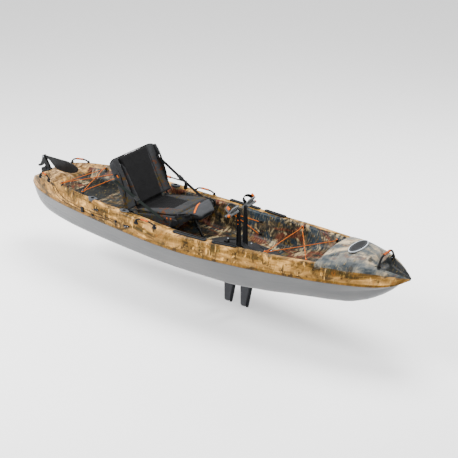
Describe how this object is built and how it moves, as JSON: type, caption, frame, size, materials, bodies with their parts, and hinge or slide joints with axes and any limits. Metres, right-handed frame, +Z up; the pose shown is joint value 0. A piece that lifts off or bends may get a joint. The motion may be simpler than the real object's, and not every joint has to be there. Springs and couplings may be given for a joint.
{
  "type": "pedal kayak",
  "caption": "Sit-on-top fishing kayak with a fin pedal drive, a folding framed seat, rod holders, gear tracks and a flip-up stern rudder.",
  "frame": {"origin": "on the centreline, amidships, on the flat of the hull's bottom", "axes": "+X to the bow, +Y to port, +Z up"},
  "size_m": [3.7901, 0.86, 1.1207],
  "materials": {
    "hull": "semi-gloss moulded polyethylene",
    "deck": "moulded polyethylene with a camouflage pattern",
    "plate": "fine texture",
    "alloy": "black anodised",
    "tread": "textured",
    "fin": "smooth",
    "fabric": "woven",
    "nose": "woven",
    "webbing": "woven",
    "bungee": "braided",
    "black": "fine texture"
  },
  "bodies": {
    "kayak": {"bow_handle": "black", "deck_shell": "deck", "drive_clamp_front": "black", "drive_clamp_rear": "black", "drive_cross_shaft": "alloy", "drive_housing": "black", "drive_plate": "plate", "drive_well": "black", "front_bungee": "bungee", "gear_track_front_left": "black", "gear_track_front_right": "black", "gear_track_rear_left": "black", "gear_track_rear_right": "black", "hull_shell": "hull", "line_clip": "black", "rear_bungee": "bungee", "rod_holder_front_left": "black", "rod_holder_front_right": "black", "rod_holder_rear_left": "black", "rod_holder_rear_right": "black", "rudder_bracket": "black", "rudder_line_lower": "webbing", "rudder_line_upper": "webbing", "seat_base_pad": "fabric", "seat_bracket_left": "black", "seat_bracket_right": "black", "seat_frame": "alloy", "seat_hinge_left": "black", "seat_hinge_right": "black", "seat_nose_pad": "nose", "seat_skirt_left": "fabric", "seat_skirt_right": "fabric", "seat_strap_left": "webbing", "seat_strap_right": "webbing", "side_bungee_left": "bungee", "side_bungee_right": "bungee", "side_handle_left": "black", "side_handle_right": "black", "steering_bracket": "black", "stern_handle_left": "black", "stern_handle_right": "black"},
    "pedal_right": {"pedal_arm_right": "black"},
    "pedal_left": {"pedal_arm_left": "black"},
    "tread_right": {"pedal_tread_right": "tread", "pedal_strap_right": "black"},
    "tread_left": {"pedal_tread_left": "tread", "pedal_strap_left": "black"},
    "fin_front": {"fin_mast_front": "black", "fin_blade_front": "fin"},
    "fin_rear": {"fin_mast_rear": "black", "fin_blade_rear": "fin"},
    "backrest": {"backrest_pad": "fabric", "backrest_wing_left": "fabric", "backrest_wing_right": "fabric", "backrest_frame": "alloy"},
    "seat_leg": {"seat_leg": "black"},
    "rudder_head": {"rudder_head": "black"},
    "rudder_blade": {"rudder_blade": "black"},
    "steering_lever": {"steering_lever": "black"}
  },
  "joints": [
    {"name": "pedal_right_swing", "type": "hinge", "parent": "kayak", "child": "pedal_right", "pos_m": [0.44, -0.046, 0.165], "axis": [0, 1, 0], "range_deg": [-22, 22]},
    {"name": "pedal_left_swing", "type": "hinge", "parent": "kayak", "child": "pedal_left", "pos_m": [0.44, 0.046, 0.165], "axis": [0, 1, 0], "range_deg": [-22, 22]},
    {"name": "tread_right_tilt", "type": "hinge", "parent": "pedal_right", "child": "tread_right", "pos_m": [0.44, -0.116, 0.497], "axis": [0, 1, 0], "range_deg": [-15, 15]},
    {"name": "tread_left_tilt", "type": "hinge", "parent": "pedal_left", "child": "tread_left", "pos_m": [0.44, 0.116, 0.497], "axis": [0, 1, 0], "range_deg": [-15, 15]},
    {"name": "fin_front_swing", "type": "hinge", "parent": "kayak", "child": "fin_front", "pos_m": [0.5, 0, -0.022], "axis": [1, 0, 0], "range_deg": [-70, 70]},
    {"name": "fin_rear_swing", "type": "hinge", "parent": "kayak", "child": "fin_rear", "pos_m": [0.335, 0, -0.022], "axis": [1, 0, 0], "range_deg": [-70, 70]},
    {"name": "backrest_fold", "type": "hinge", "parent": "kayak", "child": "backrest", "pos_m": [-0.53, 0, 0.292], "axis": [0, 1, 0], "range_deg": [0, 36], "deforming": ["seat_strap_left", "seat_strap_right"]},
    {"name": "leg_fold", "type": "hinge", "parent": "kayak", "child": "seat_leg", "pos_m": [-0.0758, 0, 0.318], "axis": [0, -1, 0], "range_deg": [0, 50]},
    {"name": "rudder_steer", "type": "hinge", "parent": "kayak", "child": "rudder_head", "pos_m": [-1.745, 0, 0.37], "axis": [0, 0, 1], "range_deg": [-25, 25]},
    {"name": "rudder_lift", "type": "hinge", "parent": "rudder_head", "child": "rudder_blade", "pos_m": [-1.764, 0, 0.453], "axis": [0, -1, 0], "range_deg": [0, 240]},
    {"name": "lever_turn", "type": "hinge", "parent": "kayak", "child": "steering_lever", "pos_m": [-0.405, 0.346, 0.4], "axis": [0, 0, 1], "range_deg": [-10, 10]}
  ],
  "couplings": [
    {"joint": "pedal_left_swing", "follows": "pedal_right_swing", "ratio": -1},
    {"joint": "fin_front_swing", "follows": "pedal_right_swing", "ratio": 3.18},
    {"joint": "fin_rear_swing", "follows": "pedal_right_swing", "ratio": -3.18},
    {"joint": "lever_turn", "follows": "rudder_steer", "ratio": -0.4}
  ]
}
